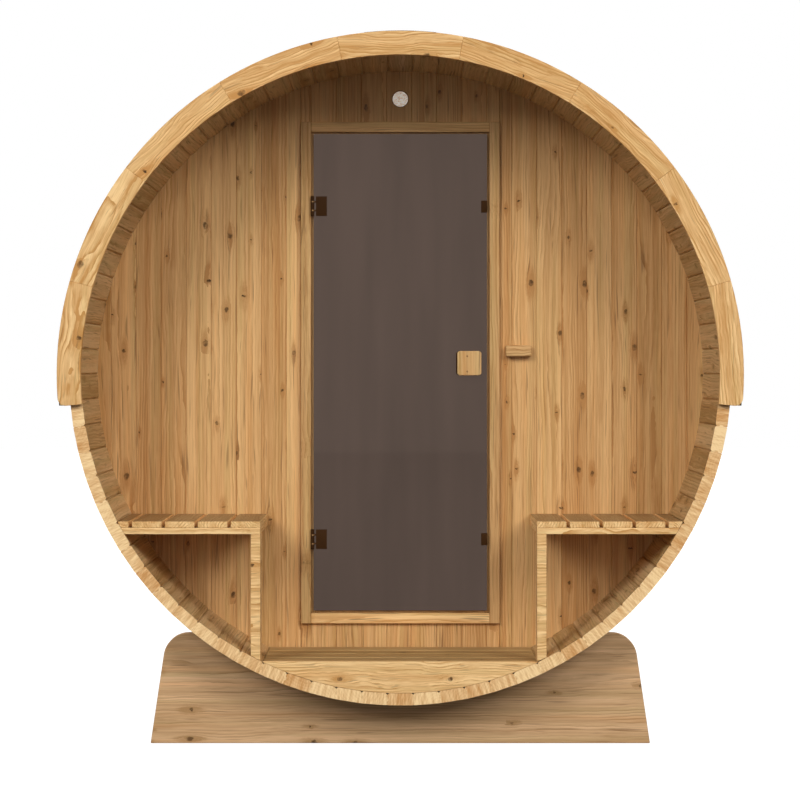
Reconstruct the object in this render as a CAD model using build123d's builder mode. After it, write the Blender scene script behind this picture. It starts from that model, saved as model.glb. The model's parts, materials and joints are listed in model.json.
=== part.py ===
from build123d import *
import os
from math import cos, degrees, radians, sin, sqrt, tan

# Barrel sauna with an open porch, a glass door, two porch benches and a roof over the upper half.
# The ground is z = 0, the barrel lies along Y, and the porch and the door face -Y.
# Lengths are millimetres. Heights named "..._height" are measured from the ground, and
# "..._level" from the barrel's axis, which is where the upright cross sections have their origin.

# Clearances
fit = 0.3
hinge_gap = 0.5

# Barrel of staves
stave_count = 78
barrel_radius = 1155.0
stave_thickness = 42.0
stave_length = 2010.0
barrel_clearance_height = 160.0
bead_width = 16.0
bead_tip_width = 8.0
bead_height = 5.0
croze_depth = 12.0
end_group_count = 9
side_group_count = 10

# Arched fascia boards on both ends of the roof
fascia_segments = 9
fascia_half_angle = 95.4
fascia_thickness = 22.0
fascia_rise = 41.0
fascia_corner_radius = 28.0

# Roof: arched battens, boards over them and a shingle skin
batten_end_inset = 75.0
batten_width = 45.0
batten_height = 18.0
roof_board_count = 41
roof_board_thickness = 17.5
shingle_thickness = 3.0
eaves_trim_thickness = 14.0

# Steel hoops, open at a pair of lugs
hoop_end_inset = 405.0
strap_width = 40.0
strap_thickness = 1.0
lug_angle = -18.0
lug_spread = 44.0
lug_thickness = 4.0
lug_reach = 28.0
lug_width = 30.0

# End walls, let into grooves in the staves
wall_thickness = 42.0
porch_depth = 450.0
back_recess = 60.0

# Door frame
frame_half_opening = 328.0
frame_opening_over_floor = 124.5
frame_opening_under_staves = 223.5
frame_face_width = 37.5
frame_proud = 16.0
stop_setback = 14.5
stop_width = 20.0

# Glass door
glass_side_gap = 9.5
glass_bottom_gap = 10.5
glass_top_gap = 7.0
glass_thickness = 8.0
glass_setback = 1.5
glass_corner_radius = 3.0

# Hinges on the left edge of the glass
hinge_top_inset = 265.5
hinge_bottom_inset = 262.0
hinge_axis_inset = 5.2
hinge_axis_proud = 7.0
hinge_height = 73.0
knuckle_diameter = 12.8
hinge_pin_diameter = 6.0
arm_spread = 32.0
arm_height = 5.0
arm_thickness = 2.5
clamp_width = 39.6
clamp_height = 71.5
clamp_thickness = 5.0
clamp_inner_width = 32.0
clamp_inner_thickness = 4.0
clamp_edge_inset = 8.9
leaf_thickness = 2.2

# Catch plates on the right edge of the glass
catch_top_inset = 267.0
catch_bottom_inset = 262.0
catch_edge_inset = 10.0
catch_width = 23.0
catch_height = 44.0
catch_thickness = 4.0

# Handle, a wooden block over a metal plate on each face of the glass
handle_edge_inset = 65.5
handle_over_floor = 1043.5
handle_width = 88.0
handle_height = 89.5
handle_thickness = 22.0
handle_corner_radius = 10.5
handle_plate_shift = 6.0
handle_plate_size = 84.0
handle_plate_thickness = 8.0
handle_plate_corner_radius = 8.0

# Small block on the front wall beside the door
block_gap = 21.5
block_over_handle = 45.5
block_width = 95.0
block_height = 41.5
block_depth = 30.0
block_corner_radius = 7.0

# Round vent over the door
vent_under_staves = 100.0
vent_diameter = 57.0
vent_setback = 4.0
vent_rim_diameter = 64.0
vent_rim_depth = 14.0

# Floor of the porch and of the room
floor_over_staves = 109.5
floor_board_width = 97.0
floor_board_gap = 10.0
floor_board_thickness = 28.0
floor_front_thickness = 22.0
bearer_x = 230.0
bearer_width = 45.0

# Porch benches
bench_over_floor = 489.5
bench_reach_left = 624.5
bench_reach_right = 636.0
slat_width = 103.0
slat_gap = 12.0
slat_thickness = 22.0
bench_rail_height = 22.0
bench_rail_width = 60.0
side_rail_width = 45.0
post_width = 33.5
post_depth = 88.0

# Cradles under the barrel
cradle_setback = 175.0
cradle_thickness = 48.0
cradle_seat_half_angle = 36.9
cradle_shoulder = 138.5
cradle_lean = 58.0
cradle_corner_radius = 87.0

# Worked out from the sizes above
axis_height = barrel_clearance_height + barrel_radius
inner_radius = barrel_radius - stave_thickness
stave_pitch = 360 / stave_count
joint_angle = stave_pitch / 2
stave_front = -stave_length / 2
stave_back = stave_length / 2
front_wall_face = stave_front + porch_depth
front_wall_back = front_wall_face + wall_thickness
back_wall_back = stave_back - back_recess
back_wall_face = back_wall_back - wall_thickness
croze_radius = inner_radius + croze_depth
wall_radius = croze_radius - fit
floor_level = floor_over_staves - inner_radius
frame_bottom_level = floor_level + frame_opening_over_floor
frame_top_level = inner_radius - frame_opening_under_staves
frame_face = front_wall_face - frame_proud
frame_depth = frame_proud + wall_thickness
frame_half_width = frame_half_opening + frame_face_width
stop_face = frame_face + stop_setback
glass_half_width = frame_half_opening - glass_side_gap
glass_bottom_level = frame_bottom_level + glass_bottom_gap
glass_top_level = frame_top_level - glass_top_gap
glass_face = frame_face + glass_setback
glass_back = glass_face + glass_thickness
hinge_levels = (glass_top_level - hinge_top_inset, glass_bottom_level + hinge_bottom_inset)
hinge_axis_x = hinge_axis_inset - frame_half_opening
hinge_axis_y = frame_face - hinge_axis_proud
clamp_edge_x = clamp_edge_inset - glass_half_width
catch_levels = (glass_top_level - catch_top_inset, glass_bottom_level + catch_bottom_inset)
catch_x = glass_half_width - catch_edge_inset
handle_x = glass_half_width - handle_edge_inset
handle_level = floor_level + handle_over_floor
block_x = frame_half_width + block_gap + block_width / 2
block_level = handle_level + block_over_handle
vent_level = inner_radius - vent_under_staves
bench_level = floor_level + bench_over_floor
bench_inner_left = inner_radius - bench_reach_left
bench_inner_right = inner_radius - bench_reach_right
batten_places = (stave_front + batten_end_inset, 0, stave_back - batten_end_inset)
hoop_places = (stave_front + hoop_end_inset, stave_back - hoop_end_inset)
batten_radius = barrel_radius + fit
roof_board_radius = batten_radius + batten_height + fit
roof_surface_radius = roof_board_radius + roof_board_thickness
shingle_radius = roof_surface_radius + fit
roof_half_angle = roof_board_count * stave_pitch / 2
fascia_radius = barrel_radius + fascia_rise
strap_radius = barrel_radius + fit

os.makedirs("parts", exist_ok=True)


def save(piece, name):
    """Labels a finished piece and writes it under its own name."""
    piece.part.label = name
    export_step(piece.part, f"parts/{name}.step")


def cross_plane(y):
    """Upright plane across the barrel at y, with its origin on the axis. It extrudes towards -Y."""
    return Plane(origin=(0, y, axis_height), x_dir=(1, 0, 0), z_dir=(0, -1, 0))


def clear_half_width(level):
    """Half of the clear width between the staves at a level."""
    return sqrt((inner_radius - fit) ** 2 - level**2)


def box_between(x_from, x_to, y_from, y_to, level_from, level_to):
    """Box between two corners, with its levels measured from the barrel's axis."""
    height = axis_height + (level_from + level_to) / 2
    with Locations(((x_from + x_to) / 2, (y_from + y_to) / 2, height)):
        Box(x_to - x_from, y_to - y_from, level_to - level_from)


# One stave in section, lying along +X from the barrel's axis, with a cove on its lower edge and a
# bead on its upper edge
def stave_edge(radius):
    """Half the width of a stave at a radius, less its share of the joint."""
    return radius * tan(radians(joint_angle)) - fit / 2


def joint_point(distance, offset, side):
    """Point at a distance along one of a stave's two joints, set off square to that joint."""
    angle = side * radians(joint_angle)
    return (
        distance * cos(angle) - offset * sin(angle),
        distance * sin(angle) + offset * cos(angle),
    )


joint_middle = inner_radius + stave_thickness / 2
bead_start = joint_middle - bead_width / 2
bead_end = joint_middle + bead_width / 2
tip_start = joint_middle - bead_tip_width / 2
tip_end = joint_middle + bead_tip_width / 2

with BuildSketch() as stave_section:
    with BuildLine():
        Polyline(
            (inner_radius, -stave_edge(inner_radius)),
            joint_point(bead_start, fit / 2, -1),
            joint_point(tip_start, bead_height + fit / 2, -1),
            joint_point(tip_end, bead_height + fit / 2, -1),
            joint_point(bead_end, fit / 2, -1),
            (barrel_radius, -stave_edge(barrel_radius)),
            (barrel_radius, stave_edge(barrel_radius)),
            joint_point(bead_end, -fit / 2, 1),
            joint_point(tip_end, bead_height - fit / 2, 1),
            joint_point(tip_start, bead_height - fit / 2, 1),
            joint_point(bead_start, -fit / 2, 1),
            (inner_radius, stave_edge(inner_radius)),
            close=True,
        )
    make_face()


def stave_run(first_angle, count):
    """A run of neighbouring staves, each its own solid, with both wall grooves cut across them."""
    with BuildPart() as staves:
        with BuildSketch(cross_plane(stave_back)):
            with PolarLocations(0, count, first_angle, count * stave_pitch):
                add(stave_section.sketch)
        extrude(amount=stave_length)
        for groove_back in (front_wall_back + fit, back_wall_back + fit):
            with BuildSketch(cross_plane(groove_back)):
                RegularPolygon(croze_radius, stave_count, major_radius=False)
            extrude(amount=wall_thickness + 2 * fit, mode=Mode.SUBTRACT)
    return staves


# Staves, in runs counted anticlockwise from the bottom of the barrel as seen from the porch
stave_runs = (
    ("staves_bottom", end_group_count),
    ("staves_lower_right", side_group_count),
    ("staves_right", side_group_count),
    ("staves_upper_right", side_group_count),
    ("staves_top", end_group_count),
    ("staves_upper_left", side_group_count),
    ("staves_left", side_group_count),
    ("staves_lower_left", side_group_count),
)
run_angle = -90 - (end_group_count - 1) / 2 * stave_pitch
for run_name, run_count in stave_runs:
    save(stave_run(run_angle, run_count), run_name)
    run_angle += run_count * stave_pitch


# Fascia arches, sawn from short boards that butt on radial cuts
def fascia_arch(back_y):
    """Nine curved boards end to end, with the two lowest outer corners rounded."""
    segment_angle = 2 * fascia_half_angle / fascia_segments
    cut_angle = degrees(fit / inner_radius)
    with BuildPart() as arch:
        with BuildSketch(cross_plane(back_y)) as outline:
            for segment in range(fascia_segments):
                start = 90 - fascia_half_angle + segment * segment_angle + cut_angle / 2
                with BuildLine():
                    outer = CenterArc((0, 0), fascia_radius, start, segment_angle - cut_angle)
                    inner = CenterArc((0, 0), inner_radius, start, segment_angle - cut_angle)
                    Line(outer @ 0, inner @ 0)
                    Line(outer @ 1, inner @ 1)
                make_face()
            fillet(outline.vertices().sort_by(Axis.Y)[:2], fascia_corner_radius)
        extrude(amount=fascia_thickness)
    return arch


save(fascia_arch(stave_front - fit), "fascia_front")
save(fascia_arch(stave_back + fit + fascia_thickness), "fascia_back")


# Roof
def below_roof_edge(half_angle):
    """All that lies below the roof's two edges, to cut a full ring down to the roof."""
    reach = 2 * barrel_radius
    edge_x = reach * sin(radians(half_angle))
    edge_level = reach * cos(radians(half_angle))
    with BuildSketch() as region:
        with BuildLine():
            Polyline(
                (0, 0),
                (edge_x, edge_level),
                (edge_x, -reach),
                (-edge_x, -reach),
                (-edge_x, edge_level),
                close=True,
            )
        make_face()
    return region


trim_angle = degrees(eaves_trim_thickness / roof_surface_radius)
below_boards = below_roof_edge(roof_half_angle)
below_trim = below_roof_edge(roof_half_angle + trim_angle)

with BuildPart() as roof_battens:
    for place in batten_places:
        with BuildSketch(cross_plane(place + batten_width / 2)):
            RegularPolygon(batten_radius + batten_height, stave_count, major_radius=False)
            RegularPolygon(batten_radius, stave_count, major_radius=False, mode=Mode.SUBTRACT)
            add(below_boards.sketch, mode=Mode.SUBTRACT)
        extrude(amount=batten_width)
save(roof_battens, "roof_battens")

with BuildSketch() as roof_board_section:
    with BuildLine():
        Polyline(
            (roof_board_radius, -stave_edge(roof_board_radius)),
            (roof_surface_radius, -stave_edge(roof_surface_radius)),
            (roof_surface_radius, stave_edge(roof_surface_radius)),
            (roof_board_radius, stave_edge(roof_board_radius)),
            close=True,
        )
    make_face()

with BuildPart() as roof_boards:
    with BuildSketch(cross_plane(stave_back)):
        first_board = 90 - (roof_board_count - 1) / 2 * stave_pitch
        with PolarLocations(0, roof_board_count, first_board, roof_board_count * stave_pitch):
            add(roof_board_section.sketch)
    extrude(amount=stave_length)
save(roof_boards, "roof_boards")

with BuildPart() as roof_shingles:
    with BuildSketch(cross_plane(stave_back)):
        RegularPolygon(shingle_radius + shingle_thickness, stave_count, major_radius=False)
        RegularPolygon(shingle_radius, stave_count, major_radius=False, mode=Mode.SUBTRACT)
        add(below_trim.sketch, mode=Mode.SUBTRACT)
    extrude(amount=stave_length)
save(roof_shingles, "roof_shingles")

strap_corner_radius = (strap_radius + strap_thickness) / cos(radians(joint_angle))
trim_width = roof_surface_radius - strap_corner_radius - fit
with BuildPart() as eaves_trim_right:
    with BuildSketch(cross_plane(stave_back)):
        with Locations(Rotation(0, 0, 90 - roof_half_angle)):
            with Locations((strap_corner_radius + fit, -fit)):
                Rectangle(trim_width, eaves_trim_thickness, align=(Align.MIN, Align.MAX))
    extrude(amount=stave_length)
save(eaves_trim_right, "eaves_trim_right")

with BuildPart() as eaves_trim_left:
    mirror(eaves_trim_right.part, about=Plane.YZ)
save(eaves_trim_left, "eaves_trim_left")

# Hoops: a strap round the staves, open between its two lugs, which are pulled together
lug_place = Rotation(0, 0, lug_angle)
with BuildPart() as hoops:
    for place in hoop_places:
        with BuildSketch(cross_plane(place + strap_width / 2)):
            RegularPolygon(strap_radius + strap_thickness, stave_count, major_radius=False)
            RegularPolygon(strap_radius, stave_count, major_radius=False, mode=Mode.SUBTRACT)
            with Locations(lug_place):
                with Locations((barrel_radius, 0)):
                    Rectangle(2 * lug_reach, lug_spread - 2 * lug_thickness, mode=Mode.SUBTRACT)
        extrude(amount=strap_width)
        with BuildSketch(cross_plane(place + lug_width / 2)):
            with Locations(lug_place):
                for side in (1, -1):
                    with Locations((strap_corner_radius - strap_thickness, side * lug_spread / 2)):
                        lug_align = (Align.MIN, Align.MAX if side > 0 else Align.MIN)
                        Rectangle(lug_reach, lug_thickness, align=lug_align)
        extrude(amount=lug_width)
save(hoops, "hoops")


# End walls
def wall_panel(back_y, x_from, x_to, level_from, level_to):
    """The part of an end wall that lies in a rectangle. The whole wall fills the staves' groove."""
    with BuildPart() as panel:
        with BuildSketch(cross_plane(back_y)):
            RegularPolygon(wall_radius, stave_count, major_radius=False)
            with Locations(((x_from + x_to) / 2, (level_from + level_to) / 2)):
                Rectangle(x_to - x_from, level_to - level_from, mode=Mode.INTERSECT)
        extrude(amount=wall_thickness)
    return panel


panel_side = frame_half_width + 2 * fit
save(
    wall_panel(front_wall_back, panel_side, barrel_radius, -barrel_radius, barrel_radius),
    "front_wall_right",
)
save(
    wall_panel(front_wall_back, -barrel_radius, -panel_side, -barrel_radius, barrel_radius),
    "front_wall_left",
)

frame_foot_level = frame_bottom_level - frame_face_width
frame_head_level = frame_top_level + frame_face_width
front_wall_under_door = wall_panel(
    front_wall_back,
    -frame_half_width - fit,
    frame_half_width + fit,
    -barrel_radius,
    frame_foot_level - fit,
)
save(front_wall_under_door, "front_wall_under_door")

panel_over_door = wall_panel(
    front_wall_back,
    -frame_half_width - fit,
    frame_half_width + fit,
    frame_head_level + fit,
    barrel_radius,
)
with BuildPart() as front_wall_over_door:
    add(panel_over_door.part)
    with BuildSketch(cross_plane(front_wall_back)):
        with Locations((0, vent_level)):
            Circle(vent_diameter / 2 + fit)
    extrude(amount=wall_thickness, mode=Mode.SUBTRACT)
    with BuildSketch(cross_plane(front_wall_face + vent_rim_depth)):
        with Locations((0, vent_level)):
            Circle(vent_rim_diameter / 2)
    extrude(amount=vent_rim_depth, mode=Mode.SUBTRACT)
save(front_wall_over_door, "front_wall_over_door")

back_wall = wall_panel(back_wall_back, -barrel_radius, barrel_radius, -barrel_radius, barrel_radius)
save(back_wall, "back_wall")

# Vent: a plug through the wall, standing back in a wider rim
with BuildPart() as vent:
    with BuildSketch(cross_plane(front_wall_back)):
        with Locations((0, vent_level)):
            Circle(vent_diameter / 2)
    extrude(amount=wall_thickness - vent_setback)
save(vent, "vent")

# Wooden block on the wall
with BuildPart() as wall_block:
    with BuildSketch(cross_plane(front_wall_face - fit)):
        with Locations((block_x, block_level)):
            RectangleRounded(block_width, block_height, block_corner_radius)
    extrude(amount=block_depth)
save(wall_block, "wall_block")

# Door frame: two full-height jambs, a head and a sill between them, and the stops they carry
frame_back = frame_face + frame_depth
with BuildPart() as door_jamb_right:
    box_between(
        frame_half_opening,
        frame_half_width,
        frame_face,
        frame_back,
        frame_foot_level,
        frame_head_level,
    )
save(door_jamb_right, "door_jamb_right")

with BuildPart() as door_jamb_left:
    mirror(door_jamb_right.part, about=Plane.YZ)
save(door_jamb_left, "door_jamb_left")

rail_half_length = frame_half_opening - fit
with BuildPart() as door_head:
    box_between(
        -rail_half_length,
        rail_half_length,
        frame_face,
        frame_back,
        frame_top_level,
        frame_head_level,
    )
save(door_head, "door_head")

with BuildPart() as door_sill:
    box_between(
        -rail_half_length,
        rail_half_length,
        frame_face,
        frame_back,
        frame_foot_level,
        frame_bottom_level,
    )
save(door_sill, "door_sill")

stop_outer_x = frame_half_opening - fit
stop_inner_x = frame_half_opening - stop_width
with BuildPart() as door_stops:
    for side in (1, -1):
        box_between(
            min(side * stop_inner_x, side * stop_outer_x),
            max(side * stop_inner_x, side * stop_outer_x),
            stop_face,
            frame_back,
            frame_bottom_level + fit,
            frame_top_level - fit,
        )
    box_between(
        -stop_inner_x + fit,
        stop_inner_x - fit,
        stop_face,
        frame_back,
        frame_top_level - stop_width,
        frame_top_level - fit,
    )
    box_between(
        -stop_inner_x + fit,
        stop_inner_x - fit,
        stop_face,
        frame_back,
        frame_bottom_level + fit,
        frame_bottom_level + stop_width,
    )
save(door_stops, "door_stops")

# Glass door
with BuildPart() as door_glass:
    with BuildSketch(cross_plane(glass_back)):
        with Locations((0, (glass_bottom_level + glass_top_level) / 2)):
            RectangleRounded(
                2 * glass_half_width,
                glass_top_level - glass_bottom_level,
                glass_corner_radius,
            )
    extrude(amount=glass_thickness)
save(door_glass, "door_glass")


# Hinges: a leaf in the rebate carries the pin with its upper and lower knuckles, and the clamp on
# the glass carries the middle knuckle on two arms
def level_plane(level):
    """Level plane on the hinge axis. It extrudes upwards."""
    return Plane(origin=(hinge_axis_x, hinge_axis_y, axis_height + level))


half_hinge = hinge_height / 2
half_middle = (arm_spread + arm_height) / 2
outer_knuckle_start = half_middle + hinge_gap
outer_knuckle_height = half_hinge - outer_knuckle_start
leaf_x = -frame_half_opening + fit
with BuildPart() as hinge_leaves:
    for level in hinge_levels:
        with BuildSketch(level_plane(level - half_hinge)):
            Circle(hinge_pin_diameter / 2)
        extrude(amount=hinge_height)
        for start in (outer_knuckle_start, -half_hinge):
            with BuildSketch(level_plane(level + start)):
                Circle(knuckle_diameter / 2)
            extrude(amount=outer_knuckle_height)
            box_between(
                leaf_x,
                leaf_x + leaf_thickness,
                hinge_axis_y,
                stop_face - fit,
                level + start,
                level + start + outer_knuckle_height,
            )
        box_between(
            leaf_x,
            leaf_x + leaf_thickness,
            frame_face + fit,
            stop_face - fit,
            level - half_hinge,
            level + half_hinge,
        )
save(hinge_leaves, "hinge_leaves")

clamp_back = glass_face - fit
clamp_front = clamp_back - clamp_thickness
clamp_far_x = clamp_edge_x + clamp_width
with BuildPart() as hinge_clamps:
    for level in hinge_levels:
        clamp_bottom = level - clamp_height / 2
        clamp_top = level + clamp_height / 2
        box_between(clamp_edge_x, clamp_far_x, clamp_front, clamp_back, clamp_bottom, clamp_top)
        box_between(
            clamp_far_x - clamp_inner_width,
            clamp_far_x,
            glass_back + fit,
            glass_back + fit + clamp_inner_thickness,
            clamp_bottom,
            clamp_top,
        )
        for arm_level in (level - arm_spread / 2, level + arm_spread / 2):
            box_between(
                hinge_axis_x,
                clamp_edge_x,
                clamp_front,
                clamp_front + arm_thickness,
                arm_level - arm_height / 2,
                arm_level + arm_height / 2,
            )
        with BuildSketch(level_plane(level - half_middle)):
            Circle(knuckle_diameter / 2)
        extrude(amount=2 * half_middle)
        with BuildSketch(level_plane(level - half_middle)):
            Circle(hinge_pin_diameter / 2 + fit)
        extrude(amount=2 * half_middle, mode=Mode.SUBTRACT)
save(hinge_clamps, "hinge_clamps")

with BuildPart() as door_catch_plates:
    for level in catch_levels:
        box_between(
            catch_x - catch_width / 2,
            catch_x + catch_width / 2,
            glass_face - fit - catch_thickness,
            glass_face - fit,
            level - catch_height / 2,
            level + catch_height / 2,
        )
save(door_catch_plates, "door_catch_plates")


def door_handle_block(back_y):
    """A square wooden block with rounded corners, its back at y."""
    with BuildPart() as block:
        with BuildSketch(cross_plane(back_y)):
            with Locations((handle_x, handle_level)):
                RectangleRounded(handle_width, handle_height, handle_corner_radius)
        extrude(amount=handle_thickness)
    return block


outer_plate_back = glass_face - fit
inner_plate_back = glass_back + fit + handle_plate_thickness
with BuildPart() as door_handle_plates:
    for plate_back in (outer_plate_back, inner_plate_back):
        with BuildSketch(cross_plane(plate_back)):
            with Locations((handle_x - handle_plate_shift, handle_level)):
                RectangleRounded(
                    handle_plate_size,
                    handle_plate_size,
                    handle_plate_corner_radius,
                )
        extrude(amount=handle_plate_thickness)
save(door_handle_plates, "door_handle_plates")

outer_block_back = outer_plate_back - handle_plate_thickness - fit
inner_block_back = inner_plate_back + fit + handle_thickness
save(door_handle_block(outer_block_back), "door_handle_outer")
save(door_handle_block(inner_block_back), "door_handle_inner")


# Floors
def floor_boards(y_from, y_to):
    """Boards laid across between two walls, evenly spaced, with their ends cut to the staves."""
    underside = floor_level - floor_board_thickness
    count = int((y_to - y_from - floor_board_gap) / (floor_board_width + floor_board_gap) + 0.5)
    gap = (y_to - y_from - count * floor_board_width) / (count + 1)
    with BuildPart() as boards:
        for board in range(count):
            board_front = y_from + gap + board * (floor_board_width + gap)
            with BuildSketch(cross_plane(board_front + floor_board_width)):
                with BuildLine():
                    Polyline(
                        (-clear_half_width(floor_level), floor_level),
                        (clear_half_width(floor_level), floor_level),
                        (clear_half_width(underside), underside),
                        (-clear_half_width(underside), underside),
                        close=True,
                    )
                make_face()
            extrude(amount=floor_board_width)
    return boards


floor_front_back = stave_front + floor_front_thickness
save(floor_boards(floor_front_back, front_wall_face), "porch_floor_boards")
save(floor_boards(front_wall_back, back_wall_face), "room_floor_boards")

with BuildPart() as floor_front_board:
    with BuildSketch(cross_plane(floor_front_back)):
        RegularPolygon(inner_radius - fit, stave_count, major_radius=False)
        with Locations((0, floor_level)):
            Rectangle(
                2 * barrel_radius,
                barrel_radius,
                align=(Align.CENTER, Align.MAX),
                mode=Mode.INTERSECT,
            )
    extrude(amount=floor_front_thickness)
save(floor_front_board, "floor_front_board")

bearer_top = floor_level - floor_board_thickness - fit
bearer_runs = (
    (floor_front_back + fit, front_wall_face - fit),
    (front_wall_back + fit, back_wall_face - fit),
)
with BuildPart() as floor_bearers:
    for run_front, run_back in bearer_runs:
        for side in (1, -1):
            near_x = side * (bearer_x - bearer_width / 2)
            far_x = side * (bearer_x + bearer_width / 2)
            with BuildSketch(cross_plane(run_back)):
                with BuildLine():
                    Polyline(
                        (near_x, bearer_top),
                        (far_x, bearer_top),
                        (far_x, -clear_half_width(far_x)),
                        (near_x, -clear_half_width(near_x)),
                        close=True,
                    )
                make_face()
            extrude(amount=run_back - run_front)
save(floor_bearers, "floor_bearers")

# Porch benches. Slats run front to back over two cross rails and a side rail along the aisle,
# and a post stands under the front corner. Each is drawn for the right, from its aisle edge, and
# mirrored for the left.
slat_underside = bench_level - slat_thickness
rail_top = slat_underside - fit
rail_underside = rail_top - bench_rail_height
post_top = rail_underside - fit
bench_back = front_wall_face - fit


def bench_slats(inner_x):
    """Slats from the aisle to the staves, the last one cut to their slope."""
    with BuildPart() as slats:
        slat_start = inner_x
        while slat_start < clear_half_width(slat_underside):
            slat_end = slat_start + slat_width
            with BuildSketch(cross_plane(bench_back)):
                with BuildLine():
                    Polyline(
                        (slat_start, slat_underside),
                        (min(slat_end, clear_half_width(slat_underside)), slat_underside),
                        (min(slat_end, clear_half_width(bench_level)), bench_level),
                        (slat_start, bench_level),
                        close=True,
                    )
                make_face()
            extrude(amount=bench_back - stave_front)
            slat_start = slat_end + slat_gap
    return slats


def bench_rails(inner_x):
    """Cross rails at the front and at the wall, and a rail between them along the aisle."""
    with BuildPart() as rails:
        for rail_back in (stave_front + bench_rail_width, bench_back):
            with BuildSketch(cross_plane(rail_back)):
                with BuildLine():
                    Polyline(
                        (inner_x, rail_underside),
                        (clear_half_width(rail_underside), rail_underside),
                        (clear_half_width(rail_top), rail_top),
                        (inner_x, rail_top),
                        close=True,
                    )
                make_face()
            extrude(amount=bench_rail_width)
        box_between(
            inner_x,
            inner_x + side_rail_width,
            stave_front + bench_rail_width + fit,
            bench_back - bench_rail_width - fit,
            rail_underside,
            rail_top,
        )
    return rails


def foot_level(x):
    """Level at which a post's foot at x meets the floor or the staves, whichever is higher."""
    return max(floor_level + fit, -clear_half_width(x))


def bench_post(inner_x):
    """Post under the front corner, with its foot cut to the floor or the staves."""
    outer_x = inner_x + post_width
    with BuildPart() as post:
        with BuildSketch(cross_plane(stave_front + post_depth)):
            with BuildLine():
                Polyline(
                    (inner_x, post_top),
                    (outer_x, post_top),
                    (outer_x, foot_level(outer_x)),
                    (inner_x, foot_level(inner_x)),
                    close=True,
                )
            make_face()
        extrude(amount=post_depth)
    return post


save(bench_slats(bench_inner_right), "bench_slats_right")
save(bench_rails(bench_inner_right), "bench_rails_right")

left_slats = bench_slats(bench_inner_left)
with BuildPart() as bench_slats_left:
    mirror(left_slats.part, about=Plane.YZ)
save(bench_slats_left, "bench_slats_left")

left_rails = bench_rails(bench_inner_left)
with BuildPart() as bench_rails_left:
    mirror(left_rails.part, about=Plane.YZ)
save(bench_rails_left, "bench_rails_left")

right_post = bench_post(bench_inner_right)
left_post = bench_post(bench_inner_left)
with BuildPart() as bench_posts:
    add(right_post.part)
    mirror(left_post.part, about=Plane.YZ)
save(bench_posts, "bench_posts")


# Cradles: an upright plank across the barrel with its seat cut to the staves
def cradle(front_y):
    """A plank with leaning ends and rounded shoulders, hollowed to the round of the barrel."""
    ground_level = -axis_height
    top_level = -barrel_radius * cos(radians(cradle_seat_half_angle))
    half_shoulder = barrel_radius * sin(radians(cradle_seat_half_angle)) + cradle_shoulder
    half_foot = half_shoulder + cradle_lean
    seat_radius = barrel_radius / cos(radians(joint_angle)) + fit
    with BuildPart() as plank:
        with BuildSketch(cross_plane(front_y + cradle_thickness)) as outline:
            with BuildLine():
                Polyline(
                    (-half_foot, ground_level),
                    (half_foot, ground_level),
                    (half_shoulder, top_level),
                    (-half_shoulder, top_level),
                    close=True,
                )
            make_face()
            fillet(outline.vertices().sort_by(Axis.Y)[-2:], cradle_corner_radius)
            Circle(seat_radius, mode=Mode.SUBTRACT)
        extrude(amount=cradle_thickness)
    return plank


save(cradle(stave_front + cradle_setback), "cradle_front")
save(cradle(stave_back - cradle_setback - cradle_thickness), "cradle_back")
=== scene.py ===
import json
import random
from math import atan2, cos, hypot, pi, radians, sin, sqrt, tan

import bmesh
import bpy
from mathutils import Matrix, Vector


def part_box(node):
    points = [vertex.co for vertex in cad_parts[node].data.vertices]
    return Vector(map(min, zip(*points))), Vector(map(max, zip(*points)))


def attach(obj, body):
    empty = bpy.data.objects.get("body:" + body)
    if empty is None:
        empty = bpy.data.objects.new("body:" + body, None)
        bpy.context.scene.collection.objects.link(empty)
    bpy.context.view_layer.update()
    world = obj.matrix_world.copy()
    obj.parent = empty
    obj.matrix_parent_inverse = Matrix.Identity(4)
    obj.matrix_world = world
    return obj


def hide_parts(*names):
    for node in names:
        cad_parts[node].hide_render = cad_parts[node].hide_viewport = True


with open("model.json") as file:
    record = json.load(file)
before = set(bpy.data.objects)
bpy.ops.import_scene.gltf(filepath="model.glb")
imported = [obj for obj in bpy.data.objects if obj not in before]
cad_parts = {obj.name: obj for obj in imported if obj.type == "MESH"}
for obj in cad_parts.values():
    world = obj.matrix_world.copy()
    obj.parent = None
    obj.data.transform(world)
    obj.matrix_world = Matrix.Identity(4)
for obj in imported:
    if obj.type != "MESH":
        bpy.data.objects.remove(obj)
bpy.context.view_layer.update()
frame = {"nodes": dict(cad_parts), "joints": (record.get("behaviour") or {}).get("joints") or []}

bl_info = {
    "name": "Barrel Sauna",
    "version": (1, 0, 0),
    "blender": (4, 5, 0),
    "location": "View3D > Sidebar > Sauna",
    "description": "Dresses a barrel sauna with its boards, glass door, benches and roof",
    "category": "Add Mesh",
}

# The barrel lies along Y and the porch faces -Y. Lengths are metres.
# The door's hinge is level with the barrel's axis
DOOR_PIN = frame["joints"][0]["pos_m"]
AXIS_HEIGHT = DOOR_PIN[2]
STAVE_COUNT = 78
STAVE_PITCH = 2 * pi / STAVE_COUNT
OUTER_RADIUS = 1.155
INNER_RADIUS = 1.113
# The bead on a stave's edge, and the cove that takes it: places from its middle, and heights
BEAD_MIDDLE = (OUTER_RADIUS + INNER_RADIUS) / 2
BEAD = ((-0.008, 0.0), (-0.004, 0.005), (0.004, 0.005), (0.008, 0.0))
# The end walls stand in grooves in the staves
WALL_RADIUS = 1.1247
GAP = 0.0003
# A board narrower or shorter than this is left out
SLIVER = 0.002
# A ring texture of scale 1 has rings pi / 10 m apart, and growth rings are drawn 10 mm apart
RING_SCALE = 0.314159 / 0.010
SAW_RINGS = {"wave_type": "RINGS", "rings_direction": "X", "wave_profile": "SAW"}
WHITE = (1.0, 1.0, 1.0, 1.0)


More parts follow.
